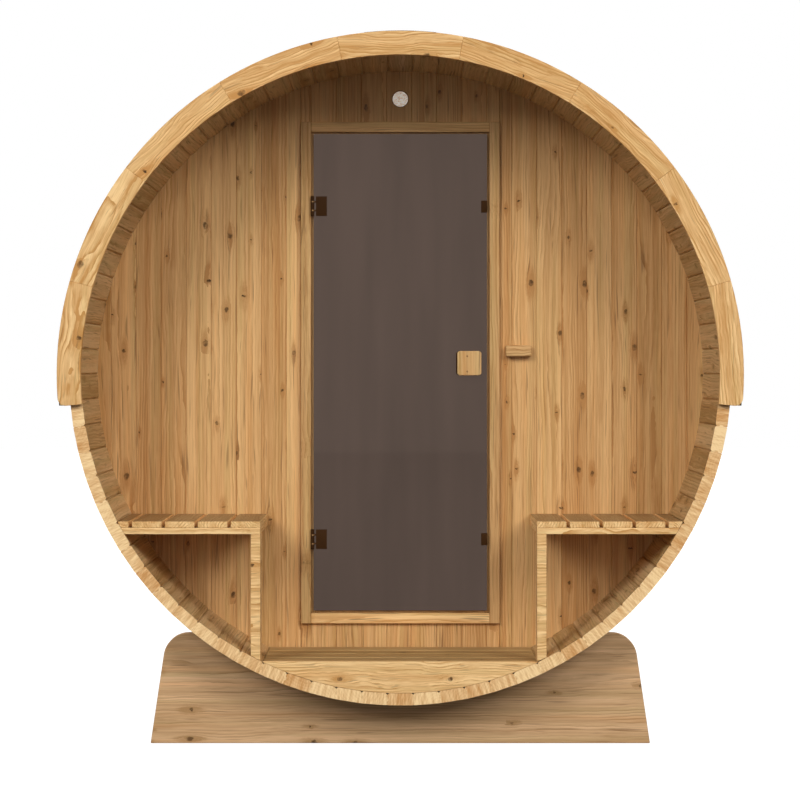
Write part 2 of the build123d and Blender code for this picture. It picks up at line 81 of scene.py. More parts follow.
def linear(hex_colour):
    """An sRGB hex colour as the linear values that Blender works in."""
    channels = []
    for start in (1, 3, 5):
        value = int(hex_colour[start : start + 2], 16) / 255
        channels.append(value / 12.92 if value <= 0.04045 else ((value + 0.055) / 1.055) ** 2.4)
    return tuple(channels)


def scaled(colour, share):
    """A colour made darker or lighter by a share, as far as full brightness."""
    return tuple(min(1.0, channel * share) for channel in colour)


def rgba(colour):
    """A colour with full opacity, as a socket takes it."""
    return (*colour, 1.0)


# Settings


def colour_property(name, description, hex_colour):
    return bpy.props.FloatVectorProperty(
        name=name,
        description=description,
        subtype="COLOR",
        size=3,
        min=0.0,
        max=1.0,
        default=linear(hex_colour),
    )


def length_property(name, description, default):
    return bpy.props.FloatProperty(
        name=name, description=description, default=default, min=0.0, unit="LENGTH", precision=4
    )


class SaunaTimber(bpy.types.PropertyGroup):
    """Colours and edges of the timber."""

    stave_light: colour_property("Stave, light", "Pale wood of the staves", "#DBB989")
    stave_dark: colour_property("Stave, dark", "Dark wood of the staves", "#A47F4D")
    end_light: colour_property("Stave end, light", "Pale end grain of the staves", "#FCD9A2")
    end_dark: colour_property("Stave end, dark", "Dark end grain of the staves", "#CF975C")
    wall_light: colour_property("Wall, light", "Pale wood of the end walls", "#E3B77E")
    wall_dark: colour_property("Wall, dark", "Dark wood of the end walls", "#B3814C")
    fascia_light: colour_property("Fascia, light", "Pale wood of the arches", "#F9D297")
    fascia_dark: colour_property("Fascia, dark", "Dark wood of the arches", "#C99355")
    cradle_light: colour_property("Cradle, light", "Pale wood of the cradles", "#E3BB90")
    cradle_dark: colour_property("Cradle, dark", "Dark wood of the cradles", "#AD865A")
    # The floor's colours are darker than the other timber's: painted shade on the boards' tops
    floor_light: colour_property("Floor, light", "Pale wood of the trodden floor", "#CAA671")
    floor_dark: colour_property("Floor, dark", "Dark wood of the trodden floor", "#A5814F")
    knot: colour_property("Knot", "Heart of a knot", "#44290F")
    stave_bevel: length_property("Stave bevel", "Bevel on a stave's outer long edges", 0.002)
    stave_groove: length_property("Stave groove", "Bevel on a stave's inner long edges", 0.0055)
    board_bevel: length_property("Board bevel", "Bevel on the edges of other boards", 0.0015)
    wall_bevel: length_property("Wall bevel", "Bevel on the long edges of a wall board", 0.0018)
    wall_pitch: length_property("Wall board width", "Width of a wall board with its joint", 0.0922)
    wall_joint: length_property("Wall joint place", "Distance of a wall joint from the axis", 0.410)


class SaunaRoofing(bpy.types.PropertyGroup):
    """Sizes and colours of the shingles, hoops and trims."""

    shingle: colour_property("Shingle", "Mineral face of the shingles", "#3A3532")
    shingle_courses: bpy.props.IntProperty(
        name="Courses", description="Courses on each side of the ridge", default=14, min=4, max=30
    )
    shingle_tabs: bpy.props.IntProperty(
        name="Tabs", description="Tabs along the roof in a course", default=6, min=2, max=20
    )
    shingle_thickness: length_property("Shingle thickness", "Thickness of one shingle", 0.0022)
    ridge_caps: bpy.props.IntProperty(
        name="Ridge caps", description="Caps along the ridge", default=14, min=4, max=30
    )
    rod_diameter: length_property("Hoop rod", "Diameter of the rod at a hoop's lugs", 0.010)


class SaunaDoor(bpy.types.PropertyGroup):
    """Colours of the glass door and its fittings."""

    glass: colour_property("Glass", "Tint of the smoked glass", "#2C231E")
    bronze: colour_property("Fittings", "Dark bronze of hinges and plates", "#3D2612")
    brass: colour_property("Straps", "Brass of the straps on the hinges", "#B89063")


class SaunaStage(bpy.types.PropertyGroup):
    """Camera and light."""

    camera_distance: length_property("Camera distance", "From the barrel's middle", 9.155)
    camera_height: length_property("Camera height", "Above the ground", 1.3265)
    key_power: bpy.props.FloatProperty(
        name="Key light", description="Power of a front soft box", default=3250.0, unit="POWER"
    )
    sky_strength: bpy.props.FloatProperty(
        name="Sky", description="Strength of the even light from all round", default=0.03, min=0.0
    )


# Materials


def add_node(tree, kind, inputs=None, **settings):
    """Adds a shader node with its settings. An input's value is a number, a colour, another
    node's socket, or a node, which stands for its first output."""
    node = tree.nodes.new("ShaderNode" + kind)
    for name, value in settings.items():
        setattr(node, name, value)
    for socket, value in (inputs or {}).items():
        if isinstance(value, bpy.types.Node):
            value = value.outputs[0]
        if isinstance(value, bpy.types.NodeSocket):
            tree.links.new(value, node.inputs[socket])
        else:
            node.inputs[socket].default_value = value
    return node


def new_material(name):
    """An empty node material, and its tree."""
    material = bpy.data.materials.new(name)
    material.use_nodes = True
    material.node_tree.nodes.clear()
    return material, material.node_tree


def timber_material(name, light, dark, knot_share, roughness=0.5, figure=1.0, flame=0.0, painted_top_shade=0.0):
    """Planed softwood under a clear satin finish: straight growth rings with a few long flames,
    fine fibres, now and then a streak of resin, and small knots with a dark heart. Each board is
    a little lighter or darker than its neighbour. It reads each board's own grain frame, in
    metres, so the rings run true on every face. A flame of 1 is wild grain that curls every
    0.1 m, and a share of painted shade darkens faces that look up."""
    material, tree = new_material(name)
    grain = add_node(tree, "Attribute", attribute_name="grain").outputs["Vector"]
    tone = add_node(tree, "Attribute", attribute_name="tone").outputs["Fac"]

    # The knots' edges are ragged by about 5 mm
    rag = add_node(tree, "TexNoise", {"Vector": grain, "Scale": 75.0, "Detail": 3.0})
    rags = {0: rag.outputs["Color"], 1: (0.018, 0.012, 0.0), 2: grain}
    ragged = add_node(tree, "VectorMath", rags, operation="MULTIPLY_ADD")
    # Knots in the plane of the board, one in each chosen cell of 0.12 m, longer along the grain
    flat = add_node(tree, "VectorMath", {0: ragged, 1: (0.8, 1.0, 0.0)}, operation="MULTIPLY")
    cells = add_node(tree, "TexVoronoi", {"Vector": flat, "Scale": 8.6}, voronoi_dimensions="2D")
    chance = add_node(tree, "SeparateColor", {"Color": cells.outputs["Color"]})
    knots = {0: chance.outputs["Red"], 1: knot_share}
    chosen = add_node(tree, "Math", knots, operation="LESS_THAN")
    # Knot radius from 3 to 9 mm, as a share of the cell, and mostly small
    small = add_node(tree, "Math", {0: chance.outputs["Green"], 1: 1.3}, operation="POWER")
    radius = add_node(tree, "MapRange", {"Value": small, "To Min": 0.030, "To Max": 0.085})
    # A round knot is a little longer along the grain. A branch cut along its side is a short
    # dash across it
    offsets = {0: flat, 1: cells.outputs["Position"]}
    from_heart = add_node(tree, "VectorMath", offsets, operation="SUBTRACT")
    kinds = {"Value": chance.outputs["Blue"], "From Min": 0.55, "From Max": 0.75}
    dash = add_node(tree, "MapRange", kinds | {"To Min": 7.4, "To Max": 19.0})
    shape = add_node(tree, "CombineXYZ", {"X": dash, "Y": 8.6})
    # Round the heart the wood is browner, three times as far along the grain as across it
    spots = []
    for squeeze, edge, core in ((shape, 1.25, 0.7), ((2.9, 7.5, 0.0), 2.6, 0.6)):
        away = add_node(tree, "VectorMath", {0: from_heart, 1: squeeze}, operation="MULTIPLY")
        away = add_node(tree, "VectorMath", {0: away}, operation="LENGTH").outputs["Value"]
        away = add_node(tree, "Math", {0: away, 1: radius}, operation="DIVIDE")
        spot = {"Value": away, "From Min": edge, "From Max": core}
        spots.append(add_node(tree, "MapRange", spot, interpolation_type="SMOOTHSTEP"))
    heart, halo = spots
    halo = add_node(tree, "Math", {0: halo, 1: chosen}, operation="MULTIPLY")
    # Some hearts are black and fast, others only brown, and none is evenly dark
    fast = {"Value": chance.outputs["Blue"], "To Min": 0.72, "To Max": 1.0}
    mottled = {"Value": rag, "From Min": 0.64, "From Max": 0.44, "To Min": 0.45}
    uneven = [add_node(tree, "MapRange", part) for part in (fast, mottled)]
    for part in (*uneven, chosen):
        heart = add_node(tree, "Math", {0: heart, 1: part}, operation="MULTIPLY")

    # The grain wanders slowly along the board and parts round a knot
    parting = {0: from_heart, 1: (0.0, -0.85, 0.0)}
    parting = add_node(tree, "VectorMath", parting, operation="MULTIPLY")
    parting = add_node(tree, "VectorMath", {0: parting, "Scale": halo}, operation="SCALE")
    pace = {0: grain, 1: (1.1 + 6.0 * flame, 7.0 + 9.0 * flame, 7.0 + 9.0 * flame)}
    wander = add_node(tree, "VectorMath", pace, operation="MULTIPLY")
    wander = add_node(tree, "TexNoise", {"Vector": wander, "Scale": 1.0, "Detail": 2.0})
    push = add_node(tree, "Math", {0: wander, 1: 0.05, 2: -0.025}, operation="MULTIPLY_ADD")
    shift = add_node(tree, "CombineXYZ", {"Y": push, "Z": push})
    parted = add_node(tree, "VectorMath", {0: grain, 1: parting}, operation="ADD")
    bent = add_node(tree, "VectorMath", {0: parted, 1: shift}, operation="ADD")

    # Growth rings are 2 to 4 mm apart and are drawn 10 mm apart, so that they show
    ring_look = {"Distortion": 2.2 + 2.0 * flame, "Detail": 2.0, "Detail Scale": 0.5}
    rings = add_node(
        tree, "TexWave", {"Vector": bent, "Scale": RING_SCALE} | ring_look, **SAW_RINGS
    )
    # The late wood is the thin dark edge of a ring
    late = add_node(tree, "Math", {0: rings.outputs["Fac"], 1: 2.5}, operation="POWER")
    late = add_node(tree, "Math", {0: late, 1: -0.29}, operation="ADD")
    noises = []
    for source, scales, detail, rough in (
        # The rings are plainer in some stretches than in others
        (grain, (2.5 + 16.0 * flame, 42.0, 42.0), 2.0, 0.5),
        # Strips of heartwood and sapwood, 20 to 60 mm wide and longer than the board
        (bent, (0.6, 38.0, 38.0), 4.0, 0.68),
        # Fibres are under 1 mm wide and are drawn at 3 mm
        (bent, (7.0, 300.0, 300.0), 3.0, 0.65),
        # Streaks of resin, 3 to 6 mm wide and 0.1 to 0.3 m long
        (bent, (4.5, 130.0, 130.0), 1.0, 0.5),
        # Some strips lean to olive, where the tree grew slowly, and some to a warm brown
        (grain, (0.8, 34.0, 34.0), 3.0, 0.5),
    ):
        place = add_node(tree, "VectorMath", {0: source, 1: scales}, operation="MULTIPLY")
        noise = {"Vector": place, "Scale": 1.0, "Detail": detail, "Roughness": rough}
        noises.append(add_node(tree, "TexNoise", noise))
    stretches, strips, fibres, resin, lean = noises

    plain_share, full_share = 0.06 * figure, (1.05 + 1.0 * flame) * figure
    shares = {"To Min": plain_share, "To Max": full_share}
    plainness = {"Value": stretches, "From Min": 0.42, "From Max": 0.62} | shares
    plainness = add_node(tree, "MapRange", plainness)
    shade = add_node(tree, "Math", {0: late, 1: plainness}, operation="MULTIPLY")
    for source, share in ((strips, 2.3 * figure), (fibres, 1.3 * figure)):
        centred = {0: source, 1: share, 2: -share / 2}
        centred = add_node(tree, "Math", centred, operation="MULTIPLY_ADD")
        shade = add_node(tree, "Math", {0: shade, 1: centred}, operation="ADD")
    for source, share in ((tone, 0.42), (halo, 0.55)):
        shade = add_node(tree, "Math", {0: source, 1: share, 2: shade}, operation="MULTIPLY_ADD")
    shade = add_node(tree, "MapRange", {"Value": shade, "From Min": -0.35, "From Max": 0.77})
    wood = add_node(tree, "Mix", {0: shade, 6: rgba(light), 7: rgba(dark)}, data_type="RGBA")

    # The strips' hues, the resin, the knots' hearts and the painted shade on upward faces are laid
    # over the wood in turn
    calm = figure * (1.0 - flame)
    leans = add_node(tree, "SeparateColor", {"Color": lean.outputs["Color"]}).outputs
    knot = bpy.context.scene.sauna_timber.knot
    layers = [
        (leans["Red"], 0.50, 0.64, 0.75 * calm, "LINEAR", "MULTIPLY", (0.88, 0.93, 0.86)),
        (leans["Green"], 0.50, 0.64, 0.75 * calm, "LINEAR", "MULTIPLY", (0.97, 0.87, 0.76)),
        (resin, 0.62, 0.76, 0.60 * calm, "SMOOTHSTEP", "MIX", linear("#6B4727")),
        (heart, 0.0, 1.0, 1.0, "LINEAR", "MIX", knot),
    ]
    # Painted shade: faces that look up are darkened, the more so the straighter they face up
    if painted_top_shade:
        facing = add_node(tree, "NewGeometry").outputs["Normal"]
        facing = add_node(tree, "SeparateXYZ", {0: facing}).outputs["Z"]
        layers.append((facing, 0.75, 1.0, painted_top_shade, "LINEAR", "MULTIPLY", (0.40, 0.38, 0.365)))
    for source, start, end, most, ramp, blend, tint in layers:
        share = {"Value": source, "From Min": start, "From Max": end, "To Max": most}
        share = add_node(tree, "MapRange", share, interpolation_type=ramp)
        layer = {0: share, 6: wood.outputs[2], 7: rgba(tint)}
        wood = add_node(tree, "Mix", layer, data_type="RGBA", blend_type=blend)

    relief = add_node(tree, "Math", {0: fibres, 1: rings.outputs["Fac"]}, operation="ADD")
    bump = add_node(tree, "Bump", {"Height": relief, "Strength": 0.25, "Distance": 0.0004})
    satin = {"Roughness": roughness, "Specular IOR Level": 0.3, "Normal": bump}
    shader = add_node(tree, "BsdfPrincipled", {"Base Color": wood.outputs[2]} | satin)
    add_node(tree, "OutputMaterial", {"Surface": shader})
    return material


def end_grain_material(light, dark):
    """Sawn and sanded end grain: short blotches where the finish soaked in, fine pores and faint
    curved rings."""
    material, tree = new_material("sanded_end_grain")
    grain = add_node(tree, "Attribute", attribute_name="grain").outputs["Vector"]
    tone = add_node(tree, "Attribute", attribute_name="tone").outputs["Fac"]
    # Blotches about 10 mm across, running through the thickness of the stave
    place = add_node(tree, "VectorMath", {0: grain, 1: (1.0, 100.0, 14.0)}, operation="MULTIPLY")
    noise = {"Vector": place, "Scale": 1.0, "Detail": 4.0, "Roughness": 0.65}
    blotches = add_node(tree, "TexNoise", noise)
    ring_look = {"Vector": grain, "Scale": RING_SCALE, "Distortion": 2.0, "Detail": 2.0}
    rings = add_node(tree, "TexWave", ring_look, **SAW_RINGS).outputs["Fac"]
    shade = add_node(tree, "Math", {0: blotches, 1: 2.6, 2: -1.2}, operation="MULTIPLY_ADD")
    for source, share in ((rings, 0.2), (tone, 0.4)):
        shade = add_node(tree, "Math", {0: source, 1: share, 2: shade}, operation="MULTIPLY_ADD")
    wood = add_node(tree, "Mix", {0: shade, 6: rgba(light), 7: rgba(dark)}, data_type="RGBA")
    bump = add_node(tree, "Bump", {"Height": blotches, "Strength": 0.1, "Distance": 0.0003})
    matt = {"Roughness": 0.65, "Specular IOR Level": 0.3, "Normal": bump}
    shader = add_node(tree, "BsdfPrincipled", {"Base Color": wood.outputs[2]} | matt)
    add_node(tree, "OutputMaterial", {"Surface": shader})
    return material


def sawn_timber_material():
    """Rough sawn battens, unseen under the roof: dull wood with saw marks."""
    material, tree = new_material("sawn_spruce")
    place = add_node(tree, "TexCoord").outputs["Object"]
    marks = add_node(tree, "TexNoise", {"Vector": place, "Scale": 60.0, "Detail": 4.0})
    woods = {0: marks, 6: rgba(linear("#C79C6A")), 7: rgba(linear("#8F6A42"))}
    wood = add_node(tree, "Mix", woods, data_type="RGBA")
    bump = add_node(tree, "Bump", {"Height": marks, "Strength": 0.4, "Distance": 0.001})
    dull = {"Base Color": wood.outputs[2], "Roughness": 0.8, "Normal": bump}
    shader = add_node(tree, "BsdfPrincipled", dull)
    add_node(tree, "OutputMaterial", {"Surface": shader})
    return material


def shingle_material():
    """Bitumen shingles faced with crushed slate: matt, speckled, each tab its own tone."""
    colour = bpy.context.scene.sauna_roofing.shingle
    material, tree = new_material("slated_bitumen")
    place = add_node(tree, "TexCoord").outputs["Object"]
    tone = add_node(tree, "Attribute", attribute_name="tone").outputs["Fac"]
    # Granules are about 1 mm and drawn at 4 mm, so that they show
    granules = add_node(tree, "TexVoronoi", {"Vector": place, "Scale": 250.0}).outputs
    speck = add_node(tree, "SeparateColor", {"Color": granules["Color"]}).outputs["Red"]
    drift = add_node(tree, "TexNoise", {"Vector": place, "Scale": 9.0, "Detail": 3.0})
    shade = add_node(tree, "Math", {0: speck, 1: 0.7, 2: drift}, operation="MULTIPLY_ADD")
    shade = add_node(tree, "Math", {0: tone, 1: 0.6, 2: shade}, operation="MULTIPLY_ADD")
    shade = add_node(tree, "MapRange", {"Value": shade, "From Min": 0.4, "From Max": 1.9})
    slates = {0: shade, 6: rgba(scaled(colour, 0.45)), 7: rgba(scaled(colour, 1.9))}
    slate = add_node(tree, "Mix", slates, data_type="RGBA")
    gritty = {"Height": granules["Distance"], "Strength": 0.5, "Distance": 0.0008}
    bump = add_node(tree, "Bump", gritty)
    matt = {"Base Color": slate.outputs[2], "Roughness": 0.9, "Normal": bump}
    shader = add_node(tree, "BsdfPrincipled", matt)
    add_node(tree, "OutputMaterial", {"Surface": shader})
    return material


def lined_metal_material(name, light, dark, scales, detail, smoothest, roughest):
    """Bare metal with fine lines along the way that it was worked: a soft sheen drawn out across
    them. The scales give the lines to a metre along each axis."""
    material, tree = new_material(name)
    place = add_node(tree, "TexCoord").outputs["Object"]
    lined = add_node(tree, "VectorMath", {0: place, 1: scales}, operation="MULTIPLY")
    lines = add_node(tree, "TexNoise", {"Vector": lined, "Scale": 1.0, "Detail": detail})
    sheen = {"Value": lines, "To Min": smoothest, "To Max": roughest}
    sheen = add_node(tree, "MapRange", sheen)
    metal = add_node(tree, "Mix", {0: lines, 6: rgba(light), 7: rgba(dark)}, data_type="RGBA")
    finish = {"Base Color": metal.outputs[2], "Metallic": 1.0, "Roughness": sheen}
    shader = add_node(tree, "BsdfPrincipled", finish)
    add_node(tree, "OutputMaterial", {"Surface": shader})
    return material


def strap_material():
    """Stainless strap with the fine lines of rolling along it, about 1 mm apart."""
    light, dark = linear("#9C9D9D"), linear("#757779")
    return lined_metal_material("rolled_stainless", light, dark, (4, 900, 4), 3.0, 0.28, 0.46)


def brushed_brass_material(colour):
    """Brass brushed along the strap. Its scratches are 0.1 mm apart and are drawn at 0.5 mm."""
    dark = scaled(colour, 0.8)
    return lined_metal_material("brushed_brass", colour, dark, (80, 80, 2000), 2.0, 0.40, 0.60)


def coated_metal_material(name, colour, roughness):
    """Steel with a dark bronze coat: satin, with the slight mottle of the coating."""
    material, tree = new_material(name)
    place = add_node(tree, "TexCoord").outputs["Object"]
    mottle = add_node(tree, "TexNoise", {"Vector": place, "Scale": 700.0, "Detail": 2.0})
    coats = {0: mottle, 6: rgba(colour), 7: rgba(scaled(colour, 0.75))}
    coat = add_node(tree, "Mix", coats, data_type="RGBA").outputs[2]
    bump = add_node(tree, "Bump", {"Height": mottle, "Strength": 0.2, "Distance": 0.0002})
    satin = {"Roughness": roughness, "Specular IOR Level": 0.06, "Normal": bump}
    shader = add_node(tree, "BsdfPrincipled", {"Base Color": coat} | satin)
    add_node(tree, "OutputMaterial", {"Surface": shader})
    return material


def smoked_glass_material():
    """Toughened glass with a bronze smoke: mostly a flat brown grey, with the room a shadow behind
    it and a faint warm glow painted into the sheet, though no lamp lights the room."""
    material, tree = new_material("smoked_glass_painted_glow")
    place = add_node(tree, "TexCoord").outputs["Object"]
    # Heat treatment leaves slow waves in the sheet, about 0.2 m long
    waves = add_node(tree, "TexNoise", {"Vector": place, "Scale": 5.0, "Detail": 1.0})
    bump = add_node(tree, "Bump", {"Height": waves, "Strength": 0.05, "Distance": 0.0004})
    # A painted glow, as of a lit room, comes through in soft upright bands, 0.1 m wide
    banded = add_node(tree, "VectorMath", {0: place, 1: (10.0, 1.0, 1.3)}, operation="MULTIPLY")
    bands = add_node(tree, "TexNoise", {"Vector": banded, "Scale": 1.0, "Detail": 2.0})
    glow = {"Value": bands, "From Min": 0.3, "From Max": 0.7, "To Min": 0.024, "To Max": 0.038}
    glow = add_node(tree, "MapRange", glow)
    sheet = {
        "Base Color": rgba(bpy.context.scene.sauna_door.glass),
        "Roughness": 0.03,
        "IOR": 1.5,
        "Transmission Weight": 0.5,
        "Specular IOR Level": 1.0,
        "Specular Tint": (1.0, 0.76, 0.63, 1.0),
        # The emission is a painted glow: nothing behind the glass gives light
        "Emission Color": (1.0, 0.66, 0.53, 1.0),
        "Emission Strength": glow,
        "Normal": bump,
    }
    shader = add_node(tree, "BsdfPrincipled", sheet)
    add_node(tree, "OutputMaterial", {"Surface": shader})
    return material


def vent_material(name, glow):
    """Moulded pale plastic with a fine spark-eroded grain. The glow is painted light: its front
    shines as though lit through from the room, where no lamp is."""
    material, tree = new_material(name)
    place = add_node(tree, "TexCoord").outputs["Object"]
    # Specks of 1 mm are drawn at 4 mm, so that they show
    specks = add_node(tree, "TexNoise", {"Vector": place, "Scale": 220.0, "Detail": 3.0})
    share = add_node(tree, "MapRange", {"Value": specks, "From Min": 0.35, "From Max": 0.65})
    plastics = {0: share, 6: rgba(linear("#F7EFE6")), 7: rgba(linear("#C4AE96"))}
    plastic = add_node(tree, "Mix", plastics, data_type="RGBA").outputs[2]
    bump = add_node(tree, "Bump", {"Height": specks, "Strength": 0.4, "Distance": 0.0005})
    moulded = {"Base Color": plastic, "Roughness": 0.6, "Normal": bump}
    lit = {"Emission Color": plastic, "Emission Strength": glow}
    shader = add_node(tree, "BsdfPrincipled", moulded | lit)
    add_node(tree, "OutputMaterial", {"Surface": shader})
    return material


def floor_material():
    """Plain white studio floor. The camera and the glass see it lit to white, and it keeps the
    shadow."""
    material, tree = new_material("studio_floor")
    path = add_node(tree, "LightPath").outputs
    seen = {0: path["Is Camera Ray"], 1: path["Is Transmission Ray"]}
    seen = add_node(tree, "Math", seen, operation="MAXIMUM")
    # A mirror shows the floor a little below white
    mirrored = add_node(tree, "Math", {0: path["Is Glossy Ray"], 1: 0.60}, operation="MULTIPLY")
    glow = add_node(tree, "Math", {0: seen, 1: 0.94, 2: mirrored}, operation="MULTIPLY_ADD")
    # A studio's matt black cloth lies under the object, so that little light comes back from below
    grey = {"Value": path["Is Camera Ray"], "To Min": 0.03, "To Max": 0.10}
    grey = add_node(tree, "MapRange", grey)
    lit = {"Emission Color": WHITE, "Emission Strength": glow}
    shader = add_node(tree, "BsdfPrincipled", {"Base Color": grey, "Roughness": 0.5} | lit)
    add_node(tree, "OutputMaterial", {"Surface": shader})
    return material


# Meshes


def islands(mesh):
    """The separate solids of a mesh, as lists of vertices."""
    left = set(mesh.verts)
    found = []
    while left:
        start = left.pop()
        group = [start]
        reach = [start]
        while reach:
            for edge in reach.pop().link_edges:
                for vert in edge.verts:
                    if vert in left:
                        left.discard(vert)
                        group.append(vert)
                        reach.append(vert)
        found.append(sorted(group, key=lambda v: v.index))
    return sorted(found, key=lambda g: g[0].index)


def grain_axes(verts, lay):
    """The directions along, across and through a board, and its middle. A lay of "length" follows
    the barrel and turns with it, "arch" follows the arc, an axis name is that axis, and "longest"
    is the board's own longest side."""
    low = Vector([min(v.co[i] for v in verts) for i in range(3)])
    high = Vector([max(v.co[i] for v in verts) for i in range(3)])
    middle = (low + high) / 2
    if lay in ("length", "arch"):
        angle = atan2(middle.x, middle.z - AXIS_HEIGHT)
        tangent = Vector((cos(angle), 0, -sin(angle)))
        radial = Vector((sin(angle), 0, cos(angle)))
        lengthwise = Vector((0, 1, 0))
        turned = (lengthwise, tangent, radial) if lay == "length" else (tangent, radial, lengthwise)
        return turned, middle
    sides = high - low
    order = sorted(range(3), key=lambda i: -sides[i])
    if lay != "longest":
        first = "XYZ".index(lay)
        order.remove(first)
        order.insert(0, first)
    unit = (Vector((1, 0, 0)), Vector((0, 1, 0)), Vector((0, 0, 1)))
    return tuple(unit[i] for i in order), middle


def lay_grain(mesh, lay, seed, tone_spread=1.0):
    """Gives every board its own place in the wood, so that no two have the same figure."""
    chance = random.Random(seed)
    grain = mesh.verts.layers.float_vector.new("grain")
    tone = mesh.verts.layers.float.new("tone")
    mesh.verts.index_update()
    for verts in islands(mesh):
        (along, across, through), middle = grain_axes(verts, lay)
        start = chance.uniform(0.0, 40.0)
        # Most boards are sawn across the rings and show close, even lines. One in five is sawn
        # along them and shows flames
        lean = chance.uniform(0.0, 0.45) if chance.random() < 0.2 else chance.uniform(0.8, 1.35)
        # The pith lay 60 to 140 mm from the board's middle
        distance = chance.uniform(0.06, 0.14)
        side = distance * sin(lean) * chance.choice((-1, 1))
        pith = distance * cos(lean) * chance.choice((-1, 1))
        board_tone = 0.5 + tone_spread * (chance.random() - 0.5)
        for vert in verts:
            place = vert.co - middle
            vert[grain] = (
                place.dot(along) + start,
                place.dot(across) + side,
                place.dot(through) + pith,
            )
            vert[tone] = board_tone


def finish_piece(mesh, name, material, node_names, body, smooth=False):
    """Turns the mesh into an object that stands for CAD nodes and rides on their body."""
    data = bpy.data.meshes.new(name)
    mesh.to_mesh(data)
    mesh.free()
    for polygon in data.polygons:
        polygon.use_smooth = smooth
    data.materials.append(material)
    piece = bpy.data.objects.new(name, data)
    bpy.context.collection.objects.link(piece)
    if smooth:
        data.set_sharp_from_angle(angle=radians(35))
    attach(piece, body)
    if node_names:
        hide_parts(*node_names)
    return piece


def finish_node(node_name, material):
    """Gives a CAD node, whose shape is right as it is, its material."""
    materials = frame["nodes"][node_name].data.materials
    materials.clear()
    materials.append(material)


def softened(node_name, bevel, segments=1):
    """A copy of a CAD node's mesh with its flat faces whole again and its edges eased."""
    mesh = bmesh.new()
    mesh.from_mesh(frame["nodes"][node_name].data)
    bmesh.ops.remove_doubles(mesh, verts=mesh.verts, dist=0.00001)
    bmesh.ops.dissolve_limit(
        mesh, angle_limit=radians(0.5), verts=mesh.verts, edges=mesh.edges, delimit=set()
    )
    edges = [e for e in mesh.edges if e.is_manifold and e.calc_face_angle(0.0) > radians(30)]
    bevel_edges(mesh, edges, bevel, segments)
    return mesh


def bevel_edges(mesh, edges, bevel, segments=1):
    """Eases edges of a mesh by a bevel, or by a round of several segments."""
    bmesh.ops.bevel(
        mesh,
        geom=edges,
        offset=bevel,
        offset_type="OFFSET",
        segments=segments,
        profile=0.5,
        affect="EDGES",
        clamp_overlap=True,
    )


def add_prism(mesh, outline, start, end, along="Y"):
    """A prism along Y from points (x, z), or along Z from points (x, y)."""
    first, last = (
        [mesh.verts.new((a, place, b) if along == "Y" else (a, b, place)) for a, b in outline]
        for place in (start, end)
    )
    mesh.faces.new(first)
    mesh.faces.new(last[::-1])
    for i in range(len(outline)):
        j = (i + 1) % len(outline)
        mesh.faces.new((first[i], last[i], last[j], first[j]))


def add_turned(mesh, centre, axis, profile, sides):
    """A turned piece round an axis, from its profile of places along it and radii."""
    first = axis.orthogonal().normalized()
    second = axis.cross(first)
    turns = [first * cos(t) + second * sin(t) for t in circle(sides)]
    rings = []
    for place, radius in profile:
        middle = centre + axis * place
        rings.append([mesh.verts.new(middle + turn * radius) for turn in turns])
    for one, two in zip(rings, rings[1:]):
        for k in range(sides):
            j = (k + 1) % sides
            mesh.faces.new((one[k], one[j], two[j], two[k]))
    mesh.faces.new(rings[0])
    mesh.faces.new(rings[-1][::-1])


def circle(sides):
    """The angles of a circle's corners."""
    return [2 * pi * k / sides for k in range(sides)]


def face_outwards(mesh):
    """Turns every face's front to the outside."""
    bmesh.ops.recalc_face_normals(mesh, faces=mesh.faces)


def dress_timber(seeds, material, lay, bevel, segments=1, tone_spread=1.0, body="sauna"):
    """Eased copies of CAD timber nodes with their grain, from a seed for each node."""
    for name, seed in seeds.items():
        mesh = softened(name, bevel, segments)
        lay_grain(mesh, lay, seed, tone_spread)
        finish_piece(mesh, "timber_" + name, material, [name], body)


# Operators


class SAUNA_OT_staves(bpy.types.Operator):
    """Lays the staves of the barrel, each with its bead and cove and its long edges bevelled"""

    bl_idname = "sauna.staves"
    bl_label = "Staves"

    def execute(self, context):
        timber = context.scene.sauna_timber
        bevel, groove = timber.stave_bevel, timber.stave_groove
        # A stave's section is its corners' distances from the axis and places across. An edge
        # gives each distance and how far in from the joint the corner is
        section = []
        for side in (-1, 1):
            beads = [(BEAD_MIDDLE + place, side * height) for place, height in BEAD]
            edge = [(INNER_RADIUS, groove), (INNER_RADIUS + groove, 0.0), *beads]
            edge += [(OUTER_RADIUS - bevel, 0.0), (OUTER_RADIUS, bevel)]
            for depth, inset in edge[::-side]:
                half = depth * tan(STAVE_PITCH / 2) - GAP / 2 - inset
                section.append((depth, side * half))
        low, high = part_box("staves_top")
        mesh = bmesh.new()
        for index in range(STAVE_COUNT):
            out_x, out_z = sin(index * STAVE_PITCH), cos(index * STAVE_PITCH)
            outline = [
                (depth * out_x + half * out_z, depth * out_z - half * out_x + AXIS_HEIGHT)
                for depth, half in reversed(section)
            ]
            add_prism(mesh, outline, low.y, high.y)
        face_outwards(mesh)
        lay_grain(mesh, "length", 11, 1.9)
        material = timber_material(
            "planed_spruce_stave", timber.stave_light, timber.stave_dark, 0.40
        )
        names = [n for n in frame["nodes"] if n.startswith("staves_")]
        staves = finish_piece(mesh, "barrel_staves", material, names, "sauna")
        staves.data.materials.append(end_grain_material(timber.end_light, timber.end_dark))
        for polygon in staves.data.polygons:
            polygon.material_index = int(abs(polygon.normal.y) > 0.9)
        return {"FINISHED"}


